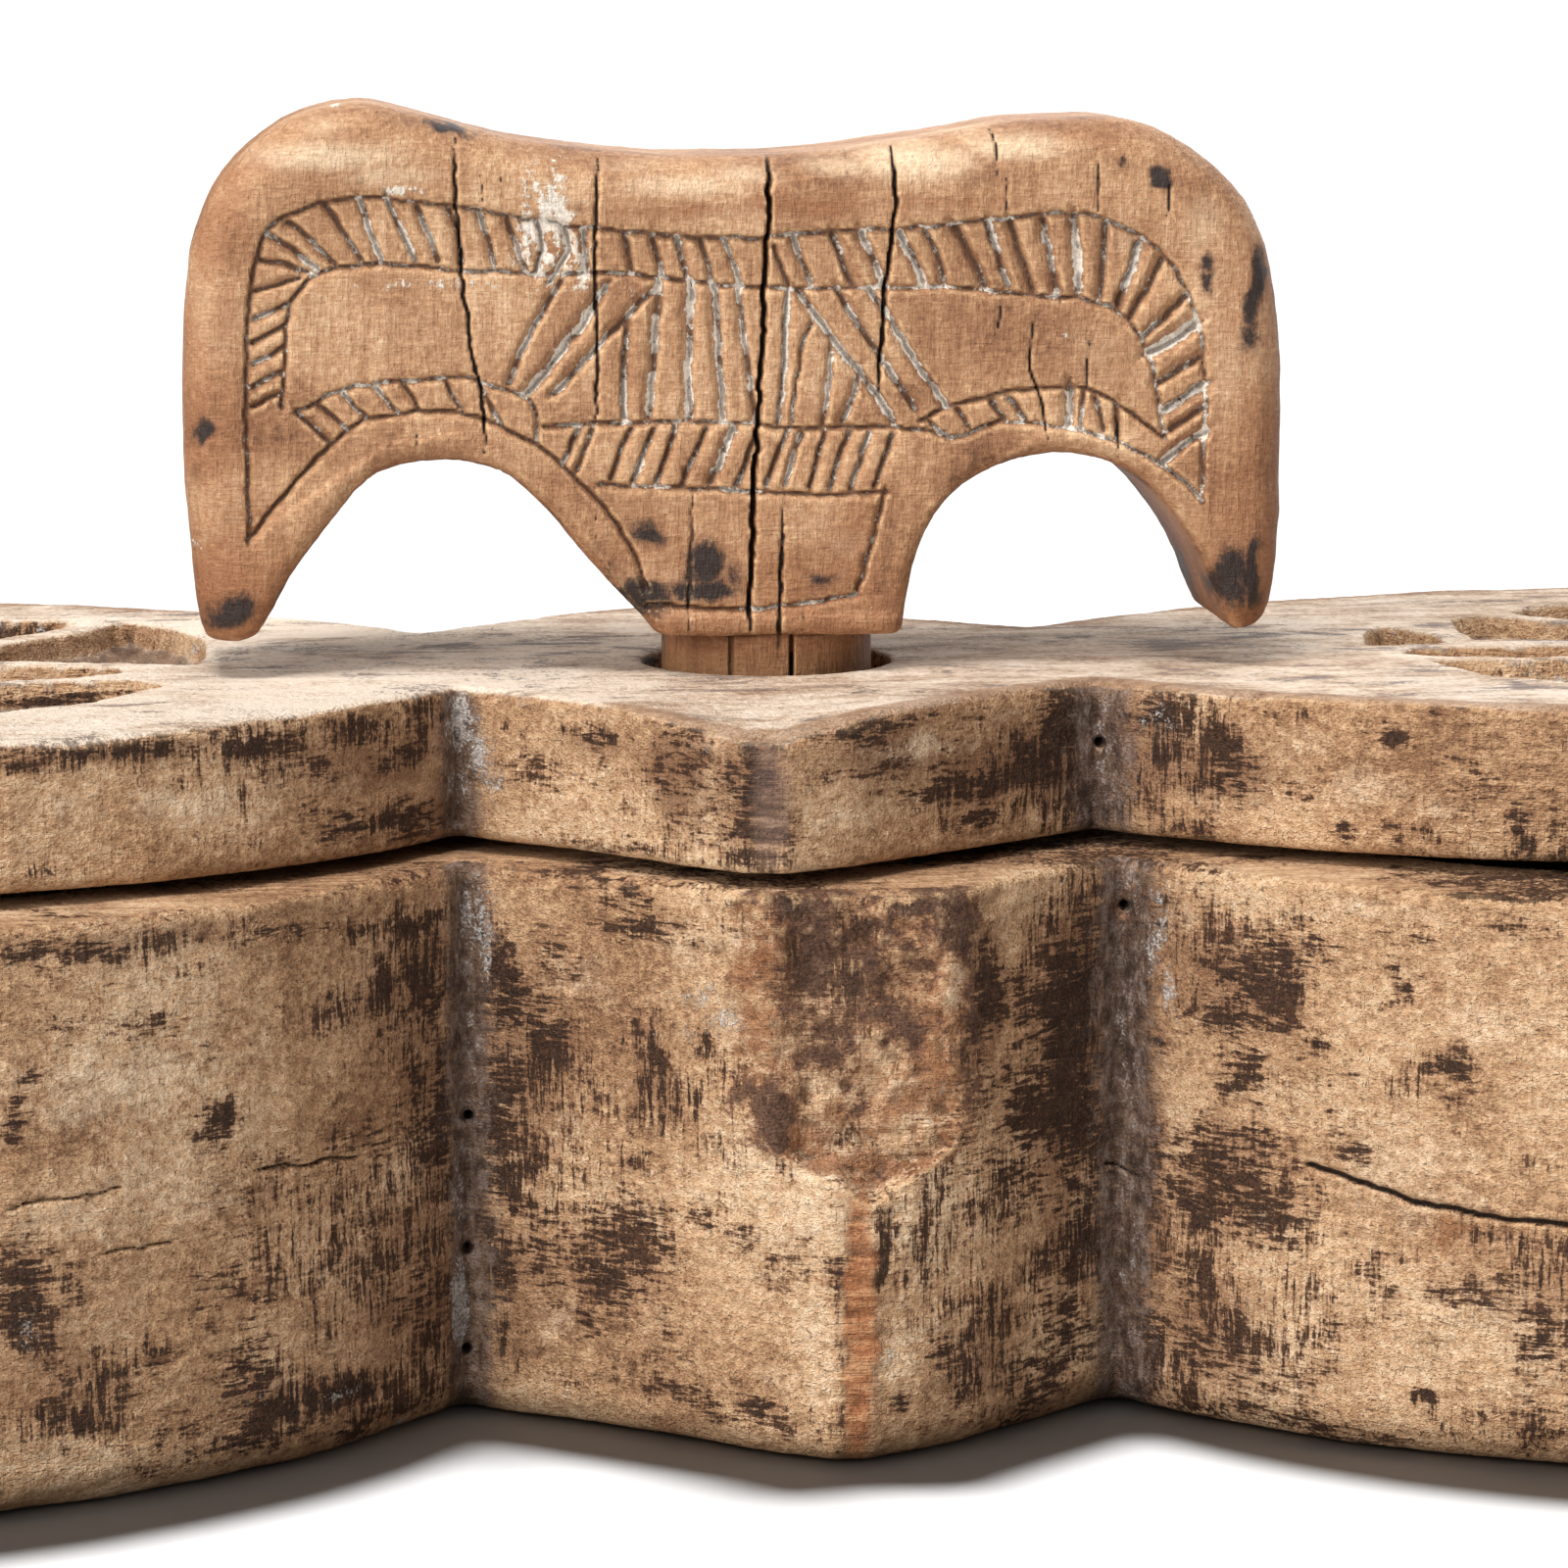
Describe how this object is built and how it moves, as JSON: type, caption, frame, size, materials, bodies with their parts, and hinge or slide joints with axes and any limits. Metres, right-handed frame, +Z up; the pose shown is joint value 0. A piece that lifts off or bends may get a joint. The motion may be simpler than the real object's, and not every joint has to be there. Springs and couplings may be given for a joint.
{
  "type": "lidded wooden box",
  "caption": "Lobed carved wooden box with a swivelling lid under a yoke-shaped carrying handle, whose peg runs through lid and box and is locked by a wedge.",
  "frame": {"origin": "centre of the box's underside, on the axis of the peg that the lid turns on", "axes": "+Z up along the peg; X along the box through both lobes; the carved front of the handle faces -Y"},
  "size_m": [0.46, 0.176, 0.1858],
  "materials": {
    "box_wood": "worn, hand-carved, darkened with use",
    "lid_wood": "worn, hand-carved, rubbed pale on top",
    "handle_wood": "polished by handling, carved lines",
    "wedge_wood": "rough split, dark"
  },
  "bodies": {
    "box": {"box_body": "box_wood", "yoke_handle": "handle_wood", "locking_wedge": "wedge_wood"},
    "lid": {"swivel_lid": "lid_wood"}
  },
  "joints": [
    {"name": "lid_swivel", "type": "hinge", "parent": "box", "child": "lid", "pos_m": [0, 0, 0.093], "axis": [0, 0, 1], "continuous": true}
  ]
}
